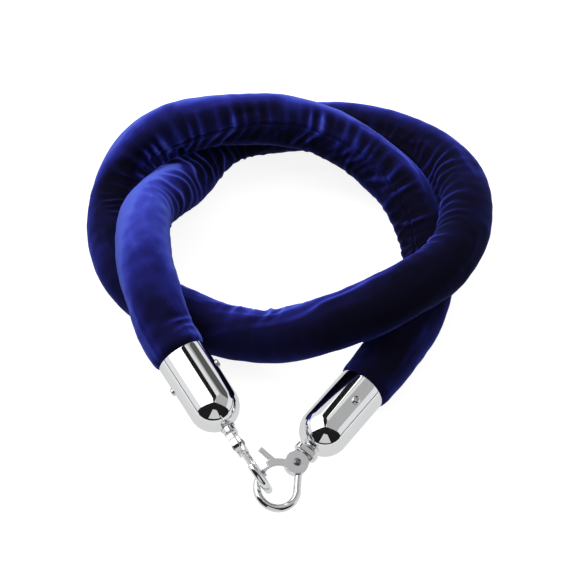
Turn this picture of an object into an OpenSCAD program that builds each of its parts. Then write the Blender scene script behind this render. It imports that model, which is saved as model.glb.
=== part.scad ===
// Velvet barrier rope: a soft padded rope coiled flat, with a domed metal cap
// and a swivelling trigger snap hook on each end, the two hooks clipped together.
// Millimetres. +Z is up, and the rope lies on the plane z = 0.

/* [Rope] */
// Outside diameter of the padded rope
cover_d = 36; // [28:0.5:36]
// Thickness of the velvet sleeve
cover_wall = 1.4; // [1:0.1:3]
// Gap between the sleeve and what it covers
cover_gap = 0.3; // [0.2:0.1:1]
// Length over which the sleeve narrows into a cap
taper_length = 18; // [8:1:30]
// Length of sleeve tucked inside a cap
tuck_length = 32; // [26:1:36]

/* [End cap] */
// Outside diameter of the metal cap
cap_d = 32.6; // [30:0.2:40]
// Length of the cap from its mouth to its flat tip
cap_length = 56; // [50:1:75]
// Wall thickness of the cap
cap_wall = 1.2; // [0.8:0.1:2]
// Radius of the flat boss on the cap's tip
boss_r = 5; // [4:0.5:7]
// Depth of the wooden plug's near face inside the mouth
plug_inset = 2; // [1:0.5:6]
// Length of the wooden plug
plug_length = 36; // [26:1:37]

/* [Cap screws] */
// Distance of the screws from the cap's mouth
screw_inset = 17; // [10:0.5:22]
// Thread radius of a screw
screw_r = 1.45; // [1:0.05:2]
// Length of a screw under its head
screw_length = 9; // [6:0.5:12]
// Radius of a screw's head
screw_head_r = 2.8; // [2.2:0.1:3.6]
// Height of a screw's head
screw_head_h = 1.9; // [1.2:0.1:2.6]
// Turn of the left cap's screws about its axis, in degrees
screw_turn_left = 106; // [-180:1:180]
// Turn of the right cap's screws about its axis, in degrees
screw_turn_right = 153; // [-180:1:180]

/* [Swivel] */
// Radius of the swivel stud's shank
stud_r = 2.4; // [1.8:0.1:3]
// Running clearance round the shank, on the radius
stud_gap = 0.06; // [0.02:0.01:0.1]
// Radius of the stud's peened head inside the cap
stud_head_r = 4.4; // [3.5:0.1:5]
// Thickness of the stud's head
stud_head_h = 1.8; // [1:0.1:3]
// Thickness of the washers on both sides of the cap's tip
washer_h = 1; // [0.6:0.1:1.5]
// Radius of the washers
washer_r = 4.8; // [4:0.1:5]

/* [Hook] */
// Width of the block at the hook's foot
foot_w = 16; // [12:0.5:20]
// Depth of that block, front to back
foot_t = 8.2; // [7:0.1:11]
// Height of that block along the hook
foot_h = 4; // [3:0.5:6]
// Radius of the head round the pivot
head_r = 7.5; // [6:0.1:7.6]
// Distance from the middle of the trigger's curve to the middle of the ring
ring_drop = 3.5; // [3:0.1:4.5]
// Sideways place of the ring's middle, away from the trigger
ring_side = 1.3; // [0:0.1:3]
// Radius of the ring to the middle of its wire
ring_r = 12.6; // [11:0.1:15]
// Radius of the ring's wire
wire_r = 2.5; // [1.8:0.1:2.6]
// Turn of the left hook about its cap's axis, in degrees
swivel_left = -162; // [-180:1:180]
// Turn of the right hook about its cap's axis, in degrees
swivel_right = -107; // [-180:1:180]

/* [Trigger] */
// Thickness of the trigger plate
lever_t = 2; // [1.2:0.1:2.4]
// Gap between the trigger plate and the hook's head
lever_gap = 0.15; // [0.1:0.05:0.3]
// How far the curved arm's inner edge lies inside the middle of the ring's wire
arm_inset = 2.1; // [1.5:0.1:2.6]
// Width of the trigger's arm
arm_w = 4.6; // [3:0.1:5]
// Width of the thumb tab
tab_w = 3.1; // [2:0.1:5]
// Length of the thumb tab beyond the arm's inner edge
tab_length = 12.2; // [9:0.1:15]
// Radius of the pivot rivet
rivet_r = 2; // [1.5:0.1:2.4]
// Running clearance round the rivet, on the radius
rivet_gap = 0.05; // [0.02:0.01:0.1]
// Radius of the rivet's heads
rivet_head_r = 2.7; // [2.4:0.1:3.4]
// Height of the rivet's heads
rivet_head_h = 0.9; // [0.5:0.1:1.2]
// Radius of the trigger spring's wire
spring_wire_r = 0.35; // [0.25:0.05:0.4]

/* [Hidden] */
$fn = 64;

// Route of the rope's centre from the left cap's mouth to the right cap's mouth:
// a little over one and a half turns, crossing over itself three times.
LAID = [
    [-68, -72.5, 40], [-79, -56, 44.5], [-89, -30, 54], [-97, 2, 58], [-99, 40, 50], [-88, 74, 34],
    [-71, 106, 17], [-54, 144, 19], [-15, 158, 18], [24, 160, 20], [65, 153.5, 22], [99, 132.5, 25],
    [121.5, 98, 34], [125.5, 59, 44], [119, 20, 50], [100, -15, 56], [66, -39, 57], [30, -50, 46],
    [-7, -50, 29], [-44, -37, 20], [-79, -19, 18], [-110, 6, 18], [-125, 44, 18], [-126, 85, 22],
    [-107.5, 115.5, 47], [-70, 122, 59], [-31, 129, 56], [8, 133, 51], [45.5, 123.5, 37], [77, 98.3, 27],
    [94.5, 63.2, 20], [99.5, 24, 18], [91.5, -16, 18], [76, -43, 19], [59.5, -66.5, 18], [47.5, -82, 17.5]
];

// Cap length that the laid points leave room for. With longer or shorter caps the rope's two
// end points move along its own line, so the clipped hooks stay together in the same place.
laid_cap_length = 56;
end_shift = cap_length - laid_cap_length;
LAST = len(LAID) - 1;
start_shift = end_shift * unit(LAID[1] - LAID[0]);
stop_shift = end_shift * unit(LAID[LAST - 1] - LAID[LAST]);

// The same route with the whole object's footprint centred on the origin
centring = [0.53, -3.83, 0];
ROUTE = [
    for (i = [0:LAST]) LAID[i] + centring + (i == 0 ? start_shift : i == LAST ? stop_shift : [0, 0, 0])
];

// Rope
SIDES = 12;
STEPS = 2;
cover_r = cover_d / 2;
cap_r = cap_d / 2;
cap_inner_r = cap_r - cap_wall;
tuck_r = cap_inner_r - cover_gap;
plug_r = (tuck_r - cover_wall) * cos(180 / SIDES) - cover_gap;

// Cap's tip, measured inwards from its flat boss
washer_gap = 0.05;
seat_depth = cap_wall + cap_inner_r - sqrt(cap_inner_r ^ 2 - washer_r ^ 2) + washer_gap;
stud_head_depth = seat_depth + washer_h + washer_gap;
hole_gap = 0.15;
pilot_r = screw_r - 0.25;
recess_w = 0.8;
recess_depth = 1.1;

// Hook, measured outwards from the cap's tip
foot_y = washer_h + 2 * washer_gap;
neck_y = foot_y + foot_h;
pocket_gap = 0.5;
neck_gap = 0.2;
pivot_reach = neck_y + neck_gap + pocket_gap + head_r;
arm_r = ring_r - arm_inset;
arm_sink = 0.6;
arm_y = pivot_reach + head_r + arm_r - arm_sink;
ring_y = arm_y + ring_drop;
head_front = 0.85;
head_back = 3.6;
neck_w = 12;
stud_cover = 0.6;
stud_grip = foot_h - stud_cover;
nose_angle = -13;
root_angle = 215;
shank_sink = 2.13;
shank_socket = 1;
shank_step = 0.1;
notch_floor = 0.75;
notch_wall = 0.7;
notch_start = -26;
notch_end = 7;
lever_z = head_front + lever_gap;
rivet_top = lever_z + lever_t + rivet_gap;
arm_start = -80;
arm_end = 8;
tab_inset = 2.5;
tab_y = arm_y - arm_r + tab_inset;

// Trigger spring
spring_turns = 2.5;
spring_gap = 0.25;
spring_rise = 2;
spring_mean_r = rivet_r + spring_wire_r + 0.85;
spring_top = head_front - spring_wire_r - spring_gap;
spring_floor = spring_rise - spring_top + spring_wire_r + 0.05;
spring_pocket_r = spring_mean_r + spring_wire_r + 3 * spring_gap;

function unit(v) = v / norm(v);

// Cubic blend between four neighbouring route points
function blend(a, b, c, d, u) =
    ((1 - u) ^ 3 * a + (3 * u ^ 3 - 6 * u ^ 2 + 4) * b + (-3 * u ^ 3 + 3 * u ^ 2 + 3 * u + 1) * c + u ^ 3 * d) / 6;

// The route with one more point past each end, so that the curve starts and ends on its end points
GUIDE = concat([2 * ROUTE[0] - ROUTE[1]], ROUTE, [2 * ROUTE[LAST] - ROUTE[LAST - 1]]);

CENTRE = concat(
    [for (i = [0 : LAST - 1]) for (j = [0 : STEPS - 1])
        blend(GUIDE[i], GUIDE[i + 1], GUIDE[i + 2], GUIDE[i + 3], j / STEPS)],
    [ROUTE[LAST]]
);

// Directions in which the two caps point, away from the rope
left_dir = unit(ROUTE[0] - ROUTE[1]);
right_dir = unit(ROUTE[LAST] - ROUTE[LAST - 1]);

// Distance of a point on the rope from the nearer cap's mouth
function from_mouth(p) = min(norm(p - ROUTE[0]), norm(p - ROUTE[LAST]));

// The sleeve's radius at a distance from the mouth: narrow at the cap, full past the taper
function sleeve_r(d) = tuck_r + (cover_r - tuck_r) * sin(90 * min(1, d / taper_length));

// Direction of a line of points at one of them
function heading(line, i) = unit(line[min(i + 1, len(line) - 1)] - line[max(i - 1, 0)]);

// A ring of points round one point of a line
function ring_at(line, i, r, sides) =
    let (t = heading(line, i), side = unit(cross([0, 0, 1], t)), top = cross(t, side))
    [for (k = [0 : sides - 1]) line[i] + r * (cos(360 * k / sides) * side + sin(360 * k / sides) * top)];

// Triangles of the wall between rings that start at point number base
function wall(rings, sides, base, flip) = [
    for (i = [0 : rings - 2]) for (k = [0 : sides - 1])
        let (a = base + i * sides + k, b = base + i * sides + (k + 1) % sides, c = a + sides, d = b + sides)
        each flip ? [[a, c, b], [b, c, d]] : [[a, b, c], [b, d, c]]
];

// A solid rod along a line, with a radius at each of its points
module rod(line, radii, sides) {
    n = len(line);
    points = [for (i = [0 : n - 1]) each ring_at(line, i, radii[i], sides)];
    first = [for (k = [0 : sides - 1]) k];
    last = [for (k = [0 : sides - 1]) n * sides - 1 - k];
    polyhedron(points, concat(wall(n, sides, 0, true), [last], [first]));
}

// A hollow sleeve along a line, with an outer radius at each of its points
module sleeve(line, radii, thickness, sides) {
    n = len(line);
    outer = [for (i = [0 : n - 1]) each ring_at(line, i, radii[i], sides)];
    inner = [for (i = [0 : n - 1]) each ring_at(line, i, radii[i] - thickness, sides)];
    inside = n * sides;
    far = (n - 1) * sides;
    rims = [
        for (k = [0 : sides - 1])
            let (m = (k + 1) % sides)
            each [
                [k, m, inside + k], [m, inside + m, inside + k],
                [far + k, inside + far + k, far + m], [far + m, inside + far + k, inside + far + m]
            ]
    ];
    polyhedron(concat(outer, inner), concat(wall(n, sides, 0, true), wall(n, sides, inside, false), rims));
}

// Puts children on a cap's axis, with z = 0 at its mouth and +z towards its tip
module on_cap(mouth, dir) {
    translate(mouth) rotate([0, acos(dir.z), atan2(dir.y, dir.x)]) children();
}

// Puts children in the hook's plane: y runs away from the cap's tip, x towards the trigger,
// and z out of the face that carries the trigger
module on_tip(mouth, dir, turn) {
    on_cap(mouth, dir) translate([0, 0, cap_length]) rotate([90, 0, turn]) children();
}

module velvet_cover() {
    tucked = concat(
        [ROUTE[0] + tuck_length * left_dir],
        CENTRE,
        [ROUTE[LAST] + tuck_length * right_dir]
    );
    radii = concat([tuck_r], [for (p = CENTRE) sleeve_r(from_mouth(p))], [tuck_r]);
    color("midnightblue") sleeve(tucked, radii, cover_wall, SIDES);
}

module foam_core() {
    radii = [for (p = CENTRE) sleeve_r(from_mouth(p)) - cover_wall - cover_gap];
    color("wheat") rod(CENTRE, radii, SIDES);
}

// Screw holes or screws stand on both sides of a cap
module both_sides(turn) {
    for (side = [0, 180])
        rotate([0, 0, turn + side]) translate([0, 0, screw_inset]) rotate([0, 90, 0]) children();
}

module end_cap(turn) {
    dome_z = cap_length - cap_r;
    color("silver") difference() {
        union() {
            cylinder(h = dome_z, r = cap_r);
            translate([0, 0, dome_z]) sphere(r = cap_r);
            translate([0, 0, dome_z]) cylinder(h = cap_r, r = boss_r);
        }
        translate([0, 0, -cap_r]) cylinder(h = dome_z + cap_r, r = cap_inner_r);
        translate([0, 0, dome_z]) sphere(r = cap_inner_r);
        cylinder(h = cap_length + 1, r = stud_r + stud_gap);
        both_sides(turn) cylinder(h = cap_r + 1, r = screw_r + hole_gap);
    }
}

module end_plug(turn) {
    color("burlywood") difference() {
        translate([0, 0, plug_inset]) cylinder(h = plug_length, r = plug_r);
        both_sides(turn) translate([0, 0, cap_r - screw_length]) cylinder(h = screw_length, r = pilot_r);
    }
}

module cap_screw() {
    dome_r = (screw_head_r ^ 2 + 1) / 2;
    translate([0, 0, -screw_length]) cylinder(h = screw_length, r = screw_r);
    difference() {
        intersection() {
            cylinder(h = screw_head_h, r = screw_head_r);
            translate([0, 0, screw_head_h - dome_r]) sphere(r = dome_r);
        }
        for (turn = [0, 90])
            rotate([0, 0, turn])
                translate([-0.6 * screw_head_r, -recess_w / 2, screw_head_h - recess_depth])
                    cube([1.2 * screw_head_r, recess_w, screw_head_h]);
    }
}

module cap_screws(turn) {
    color("gainsboro") both_sides(turn) translate([0, 0, cap_r]) cap_screw();
}

module washer() {
    difference() {
        cylinder(h = washer_h, r = washer_r);
        translate([0, 0, -1]) cylinder(h = washer_h + 2, r = stud_r + hole_gap);
    }
}

module backing_washer() {
    color("lightgray") translate([0, 0, cap_length - seat_depth - washer_h]) washer();
}

module swivel_washer() {
    color("silver") translate([0, 0, cap_length + washer_gap]) washer();
}

module swivel_stud() {
    color("silver") rotate([-90, 0, 0]) {
        translate([0, 0, -stud_head_depth - stud_head_h]) cylinder(h = stud_head_h, r = stud_head_r);
        translate([0, 0, -stud_head_depth]) cylinder(h = stud_head_depth + foot_y + stud_grip, r = stud_r);
    }
}

// Places on the ring, by angle round its middle
function on_ring(angle) = [ring_r * cos(angle) - ring_side, ring_r * sin(angle) + ring_y, 0];

module ring_sector(start, stop, inner_r, outer_r, low, high) {
    translate([-ring_side, ring_y, 0]) rotate([0, 0, start]) rotate_extrude(angle = stop - start)
        translate([inner_r, low]) square([outer_r - inner_r, high - low]);
}

module hook_foot() {
    half = (foot_w - foot_t) / 2;
    translate([0, foot_y, 0]) rotate([-90, 0, 0]) {
        translate([-half, -foot_t / 2, 0]) cube([2 * half, foot_t, foot_h]);
        for (side = [-1, 1])
            translate([side * half, 0, 0]) cylinder(h = foot_h, r = foot_t / 2);
    }
}

// The straight stretch of wire that runs from the root of the ring into the head
module hook_shank() {
    run = [-sin(root_angle), cos(root_angle), 0];
    shank_length = ([0, pivot_reach, 0] - on_ring(root_angle)) * run - head_r + shank_sink;
    translate(on_ring(root_angle)) rotate([0, 90, root_angle + 90])
        translate([0, 0, -shank_socket]) cylinder(h = shank_length + shank_socket, r = wire_r - shank_step);
}

module hook_body() {
    head_t = head_back + head_front;
    color("silver") difference() {
        union() {
            hook_foot();
            translate([-neck_w / 2, neck_y - 1, -head_back]) cube([neck_w, pivot_reach - neck_y + 1, head_t]);
            translate([0, pivot_reach, -head_back]) cylinder(h = head_t, r = head_r);
            hook_shank();
            translate([-ring_side, ring_y, 0]) rotate([0, 0, nose_angle])
                rotate_extrude(angle = root_angle - nose_angle) translate([ring_r, 0]) circle(r = wire_r);
        }
        translate([0, pivot_reach, head_front]) cylinder(h = 2 * wire_r, r = head_r + pocket_gap);
        ring_sector(notch_start, notch_end, ring_r - wire_r - 1, ring_r + wire_r - notch_wall, notch_floor, 2 * wire_r);
        translate([0, pivot_reach, -spring_floor]) cylinder(h = spring_floor + wire_r, r = spring_pocket_r);
        translate([0, pivot_reach, -head_back - 1]) cylinder(h = head_t + 2, r = rivet_r);
        translate([0, foot_y - 1, 0]) rotate([-90, 0, 0]) cylinder(h = stud_grip + 1, r = stud_r);
    }
}

module trigger_lever() {
    tip_cut_r = ring_r + wire_r - notch_wall - hole_gap;
    color("lightgray") translate([0, 0, lever_z]) difference() {
        union() {
            translate([0, pivot_reach, 0]) cylinder(h = lever_t, r = head_r);
            translate([0, arm_y, 0]) rotate([0, 0, arm_start]) rotate_extrude(angle = arm_end - arm_start)
                translate([arm_r, 0]) square([arm_w, lever_t]);
            translate([arm_r + 1, tab_y - tab_w / 2, 0]) cube([tab_length - 1, tab_w, lever_t]);
        }
        translate([0, pivot_reach, -1]) cylinder(h = lever_t + 2, r = rivet_r + rivet_gap);
        ring_sector(notch_start, notch_end + 10, tip_cut_r, tip_cut_r + 2 * arm_w, -1, lever_t + 1);
    }
}

module pivot_rivet() {
    color("silver") translate([0, pivot_reach, 0]) {
        translate([0, 0, -head_back]) cylinder(h = head_back + rivet_top, r = rivet_r);
        translate([0, 0, rivet_top]) rivet_head();
        translate([0, 0, -head_back]) mirror([0, 0, 1]) rivet_head();
    }
}

module rivet_head() {
    dome_r = (rivet_head_r ^ 2 + rivet_head_h ^ 2) / (2 * rivet_head_h);
    intersection() {
        cylinder(h = rivet_head_h, r = rivet_head_r);
        translate([0, 0, rivet_head_h - dome_r]) sphere(r = dome_r);
    }
}

module trigger_spring() {
    count = 30;
    coil = [
        for (i = [0 : count])
            let (turn = 360 * spring_turns * i / count)
            [spring_mean_r * cos(turn), spring_mean_r * sin(turn), spring_top - spring_rise * (1 - i / count)]
    ];
    color("dimgray") translate([0, pivot_reach, 0]) rod(coil, [for (p = coil) spring_wire_r], 8);
}

module left_cap() {
    on_cap(ROUTE[0], left_dir) children();
}

module right_cap() {
    on_cap(ROUTE[LAST], right_dir) children();
}

module left_hook() {
    on_tip(ROUTE[0], left_dir, swivel_left) children();
}

module right_hook() {
    on_tip(ROUTE[LAST], right_dir, swivel_right) children();
}

velvet_cover();
foam_core();
left_cap() end_cap(screw_turn_left);  // end_cap_left
right_cap() end_cap(screw_turn_right);  // end_cap_right
left_cap() end_plug(screw_turn_left);  // end_plug_left
right_cap() end_plug(screw_turn_right);  // end_plug_right
left_cap() cap_screws(screw_turn_left);  // cap_screws_left
right_cap() cap_screws(screw_turn_right);  // cap_screws_right
left_cap() backing_washer();  // backing_washer_left
right_cap() backing_washer();  // backing_washer_right
left_cap() swivel_washer();  // swivel_washer_left
right_cap() swivel_washer();  // swivel_washer_right
left_hook() swivel_stud();  // swivel_stud_left
right_hook() swivel_stud();  // swivel_stud_right
left_hook() hook_body();  // hook_body_left
right_hook() hook_body();  // hook_body_right
left_hook() trigger_spring();  // trigger_spring_left
right_hook() trigger_spring();  // trigger_spring_right
left_hook() pivot_rivet();  // pivot_rivet_left
right_hook() pivot_rivet();  // pivot_rivet_right
left_hook() trigger_lever();  // trigger_lever_left
right_hook() trigger_lever();  // trigger_lever_right
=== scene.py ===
# %% [markdown]
# # A velvet barrier rope
# A barrier rope is a foam core in a sewn velvet sleeve. A chromed cap closes each end, and a swivel
# hook hangs from each cap. The metal shapes come from the exact CAD frame, which says how big
# everything is and what moves with what. The looks are made here: cloth, chrome, light.

# %% Load the CAD frame
import math

import bpy
import numpy as np
from mathutils import Matrix, Vector


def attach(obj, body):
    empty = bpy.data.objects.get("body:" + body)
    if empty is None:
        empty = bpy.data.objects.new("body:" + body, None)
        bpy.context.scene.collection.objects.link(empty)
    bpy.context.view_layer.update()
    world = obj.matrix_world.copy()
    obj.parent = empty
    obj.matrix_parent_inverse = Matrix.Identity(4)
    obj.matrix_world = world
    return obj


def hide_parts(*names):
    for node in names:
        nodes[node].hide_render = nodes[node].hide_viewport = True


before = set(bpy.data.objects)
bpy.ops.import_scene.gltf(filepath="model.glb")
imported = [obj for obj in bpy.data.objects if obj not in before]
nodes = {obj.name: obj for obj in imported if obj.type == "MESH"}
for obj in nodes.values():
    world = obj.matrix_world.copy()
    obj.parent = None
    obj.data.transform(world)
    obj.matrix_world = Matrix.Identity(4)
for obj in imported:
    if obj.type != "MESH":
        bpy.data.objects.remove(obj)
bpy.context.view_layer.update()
scene = bpy.context.scene

# %% [markdown]
# ## Camera
# The rope is looked at from in front and well above, with a long lens so that the near hooks are not
# blown up against the far side of the coil. The camera is made first because everything after it is
# judged through it.

# %% Camera
MM = 0.001
LOOK_AT = Vector((0.53, -3.83, 20)) * MM
TILT = math.radians(51)
DISTANCE = 889.8 * MM
VIEW_ANGLE = math.radians(25)
NEAREST, FARTHEST = 0.01, 20
to_camera = Vector((0, -math.cos(TILT), math.sin(TILT)))

lens = bpy.data.cameras.new("camera")
lens.angle = VIEW_ANGLE
lens.clip_start, lens.clip_end = NEAREST, FARTHEST
camera = bpy.data.objects.new("camera", lens)
camera.location = LOOK_AT + DISTANCE * to_camera
camera.rotation_euler = (-to_camera).to_track_quat("-Z", "Y").to_euler()
scene.collection.objects.link(camera)
scene.camera = camera
print("lens in mm:", round(lens.lens, 1))

# %% [markdown]
# ## The rope's line
# The rope is 1.31 m of soft tube, laid in a little over one and a half turns that cross over each
# other. Its line could be simulated, but a few listed points on one smooth curve give exactly the
# lie that is wanted, and the CAD solids follow the same points. The curve is a B-spline: it never
# kinks, and one extra point past each end makes it start and finish square to its caps.

# %% Points along the rope, and a smooth curve through them
LAID = [
    (-68, -72.5, 40), (-79, -56, 44.5), (-89, -30, 54), (-97, 2, 58), (-99, 40, 50), (-88, 74, 34),
    (-71, 106, 17), (-54, 144, 19), (-15, 158, 18), (24, 160, 20), (65, 153.5, 22), (99, 132.5, 25),
    (121.5, 98, 34), (125.5, 59, 44), (119, 20, 50), (100, -15, 56), (66, -39, 57), (30, -50, 46),
    (-7, -50, 29), (-44, -37, 20), (-79, -19, 18), (-110, 6, 18), (-125, 44, 18), (-126, 85, 22),
    (-107.5, 115.5, 47), (-70, 122, 59), (-31, 129, 56), (8, 133, 51), (45.5, 123.5, 37), (77, 98.3, 27),
    (94.5, 63.2, 20), (99.5, 24, 18), (91.5, -16, 18), (76, -43, 19), (59.5, -66.5, 18), (47.5, -82, 17.5),
]
CENTRING = (0.53, -3.83, 0)
route = (np.array(LAID) + CENTRING) * MM


def unit(v):
    return v / np.linalg.norm(v, axis=-1, keepdims=True)


def smooth_line(points, steps):
    guide = np.vstack([2 * points[0] - points[1], points, 2 * points[-1] - points[-2]])
    u = np.arange(steps)[:, None] / steps
    line = []
    for a, b, c, d in zip(guide, guide[1:], guide[2:], guide[3:]):
        line.append(((1 - u) ** 3 * a + (3 * u**3 - 6 * u**2 + 4) * b
                     + (-3 * u**3 + 3 * u**2 + 3 * u + 1) * c + u**3 * d) / 6)
    return np.vstack(line + [points[-1:]])


def evenly(line, count):
    walked = np.r_[0, np.cumsum(np.linalg.norm(np.diff(line, axis=0), axis=1))]
    stops = np.linspace(0, walked[-1], count)
    return stops, np.stack([np.interp(stops, walked, line[:, k]) for k in range(3)], axis=1)


RINGS, CURVE_STEPS = 940, 60
walked, centre = evenly(smooth_line(route, CURVE_STEPS), RINGS)
LENGTH = walked[-1]
step = walked[1]
print("rope between caps in mm:", round(LENGTH / MM, 1), "ring spacing:", round(step / MM, 2))

# %% [markdown]
# ## A frame that travels along the rope
# To push cloth in and out, every ring needs to know which way is forward and which way is outwards.
# Turning the frame as little as possible from ring to ring keeps the cloth from twisting where the
# rope loops, which a simple "up" direction would not.

# %% Forward, side and top at every ring, and how sharply the rope bends there
ahead = unit(np.gradient(centre, axis=0))
ahead[0], ahead[-1] = unit(route[1] - route[0]), unit(route[-1] - route[-2])
bend = np.gradient(ahead, step, axis=0)
BEND_SMOOTHING = 6
for _ in range(BEND_SMOOTHING):
    bend[1:-1] = (bend[:-2] + 2 * bend[1:-1] + bend[2:]) / 4

side = np.zeros_like(centre)
side[0] = unit(np.cross([0, 0, 1], ahead[0]))
for i in range(1, RINGS):
    side[i] = unit(side[i - 1] - ahead[i] * side[i - 1].dot(ahead[i]))
top = np.cross(ahead, side)
print("tightest bend in mm:", round(1 / np.linalg.norm(bend, axis=1).max() / MM, 1))

# %% [markdown]
# ## The velvet sleeve
# The sleeve is one long tube of velvet, sewn shut along its length and pulled over foam. It is a
# little too long for its core, so it bunches: the inside of each bend folds into short pleats, and
# the seam, which does not stretch, gathers the cloth on both sides of it. A cloth simulation of over
# a metre of tube would be slow and hard to steer, so the folds are laid by rule: narrow crests with
# broader hollows between, their depth set by how much the cloth is squeezed there.

# %% Helpers for irregular folds
SIDES, RIDGES = 104, 4000
FULL_R = 18.75 * MM
turn = np.arange(SIDES) * 2 * math.pi / SIDES
out = np.cos(turn)[None, :, None] * side[:, None] + np.sin(turn)[None, :, None] * top[:, None]
along = np.repeat(walked[:, None], SIDES, axis=1)
round_it = np.repeat(turn[None], RINGS, axis=0)


def drift(along, round_it, shortest, longest, seed, count=9):
    """A smooth random field, about -1 to 1, over the sleeve."""
    dice = np.random.default_rng(seed)
    field = 0
    for _ in range(count):
        wave = 2 * math.pi / dice.uniform(shortest, longest)
        field = field + np.cos(wave * along + dice.integers(-3, 4) * round_it + dice.uniform(0, 6.28))
    return field / math.sqrt(count)


def rise(x, low, high):
    """0 below low and 1 above high, with a smooth step between."""
    t = np.clip((x - low) / (high - low), 0, 1)
    return t * t * (3 - 2 * t)


def ridges(x, seed, calm=0.35, sharp=1.3):
    """Narrow ridges at whole numbers of x with broad hollows between, each ridge of its own height."""
    dice = np.random.default_rng(seed)
    heights = dice.uniform(calm, 1, RIDGES)
    near = np.round(x).astype(int)
    return heights[near % RIDGES] * (1 - np.abs(np.sin(math.pi * x))) ** sharp


def stretch(start, stop, soft):
    """1 from start to stop along the rope and 0 elsewhere, all three as shares of its length."""
    start, stop, soft = start * LENGTH, stop * LENGTH, soft * LENGTH
    return rise(along, start - soft, start + soft) * (1 - rise(along, stop - soft, stop + soft))


print("points on the sleeve:", RINGS * SIDES)

# %% Where the seam runs
# It lies on top where the rope comes over the back of the coil, and turns under elsewhere. Its angle
# is counted from the side of the rope that faces the camera.
viewer = np.array(to_camera)
facing = unit(viewer - ahead * (ahead @ viewer)[:, None])
SEAM_STOPS = np.array([0, 0.52, 0.60, 0.66, 0.70, 0.735, 0.77, 0.82, 0.86, 0.90, 0.95, 1.0]) * LENGTH
SEAM_ANGLES = np.radians([150, 125, 104, 88, 62, 34, 16, 10, 16, 34, 75, 120])
seam_lean = np.interp(walked, SEAM_STOPS, SEAM_ANGLES)
SEAM_SMOOTHING = 60
for _ in range(SEAM_SMOOTHING):
    seam_lean[1:-1] = (seam_lean[:-2] + seam_lean[2:]) / 2
across = np.cross(facing, ahead)
seam_out = np.cos(seam_lean)[:, None] * facing - np.sin(seam_lean)[:, None] * across
seam_turn = np.arctan2((seam_out * top).sum(1), (seam_out * side).sum(1))
off_seam = (round_it - seam_turn[:, None] + math.pi) % (2 * math.pi) - math.pi
off_seam = off_seam * FULL_R
GATHER_START, GATHER_STOP = 0.60, 0.93
gathered = stretch(GATHER_START, GATHER_STOP, 0.03)
print("seam gathered over mm:", round((GATHER_STOP - GATHER_START) * LENGTH / MM))

# %% Folds: pleats inside the bends, puckers at the seam, soft waves everywhere
PLEAT_STEP, PUCKER_STEP, LONG_STEP = 10 * MM, 9.6 * MM, 11.8 * MM
PLEAT_DEPTH, PUCKER_DEPTH, LONG_DEPTH = 1.9 * MM, 2.9 * MM, 0.8 * MM
PUCKER_REACH, PRESS_DEPTH = 15 * MM, 0.6 * MM
GROOVE_DEPTH, GROOVE_HALF = 1.3 * MM, 0.9 * MM
LIP_HEIGHT, LIP_PLACE, LIP_HALF = 0.45 * MM, 2.4 * MM, 1.3 * MM

squeezed = (bend[:, None] * out).sum(2) * FULL_R
wander = drift(along, round_it, 30 * MM, 90 * MM, seed=3) * 3.2 * MM
lean = drift(along, 0 * round_it, 90 * MM, 260 * MM, seed=4) * 2.6 * MM
pleats = ridges((along + wander + lean * np.sin(round_it)) / PLEAT_STEP, seed=11)
pleat_force = rise(squeezed, 0.02, 0.22) * (0.80 + 0.5 * drift(along, round_it, 40 * MM, 120 * MM, seed=5))
near_cross = stretch(0.095, 0.175, 0.012) + stretch(0.33, 0.42, 0.02)
pleat_force = np.clip(pleat_force + 0.9 * near_cross * rise(squeezed, -0.10, 0.14), 0, 1)

pucker_shift = drift(along, 0 * round_it, 15 * MM, 50 * MM, seed=6) * 1.6 * MM
slant = np.where(off_seam > 0, 0.70, -0.12) * off_seam
puckers = ridges((along + pucker_shift + slant) / PUCKER_STEP, seed=12, calm=0.3, sharp=1.1)
uneven = 0.90 + 0.40 * drift(along, round_it, 30 * MM, 90 * MM, seed=16)
near_seam = np.exp(-((off_seam / PUCKER_REACH) ** 4))
pucker_force = np.clip(near_seam * (0.08 + 0.92 * gathered) * uneven, 0, 1)

soft = drift(along, round_it, 24 * MM, 80 * MM, seed=7) * 0.22 * MM
small = drift(along, round_it * 2, 9 * MM, 22 * MM, seed=8) * 0.09 * MM
long_folds = ridges((FULL_R * round_it + 0.16 * along + 0.6 * wander) / LONG_STEP, seed=13)
long_force = 0.5 * rise(drift(along, round_it, 60 * MM, 200 * MM, seed=9), 0.1, 0.9)
back_side = rise((out * np.array([0, 0.6, 0.8])).sum(2), 0.35, 0.95)
long_force = long_force + 1.1 * back_side * stretch(0.46, 0.56, 0.03)

pressed_in = PRESS_DEPTH * rise(squeezed, 0.12, 0.42)
depth = (PLEAT_DEPTH * (1 - pleats) * pleat_force
         + PUCKER_DEPTH * (1 - puckers) * pucker_force
         + LONG_DEPTH * (1 - long_folds) * long_force)
# How much each point is the crest of a fold; the velvet shows this as a painted highlight.
crest_highlight = np.clip(pleats * pleat_force + puckers * pucker_force + 0.6 * long_folds * long_force, 0, 1)
seam_groove = GROOVE_DEPTH * np.exp(-((off_seam / GROOVE_HALF) ** 2))
seam_lips = LIP_HEIGHT * np.exp(-(((np.abs(off_seam) - LIP_PLACE) / LIP_HALF) ** 2)) * (0.3 + 0.7 * gathered)
radius = FULL_R - pressed_in - depth - seam_groove + seam_lips + soft + small
print("deepest fold in mm:", round((depth + seam_groove).max() / MM, 2))

# %% [markdown]
# ## Tucking the sleeve into its caps
# At each end the cloth narrows over the last few millimetres and goes inside the cap, where two
# screws pin it to a wooden plug. Seen from outside it bulges over the cap's mouth like a cuff.

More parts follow.
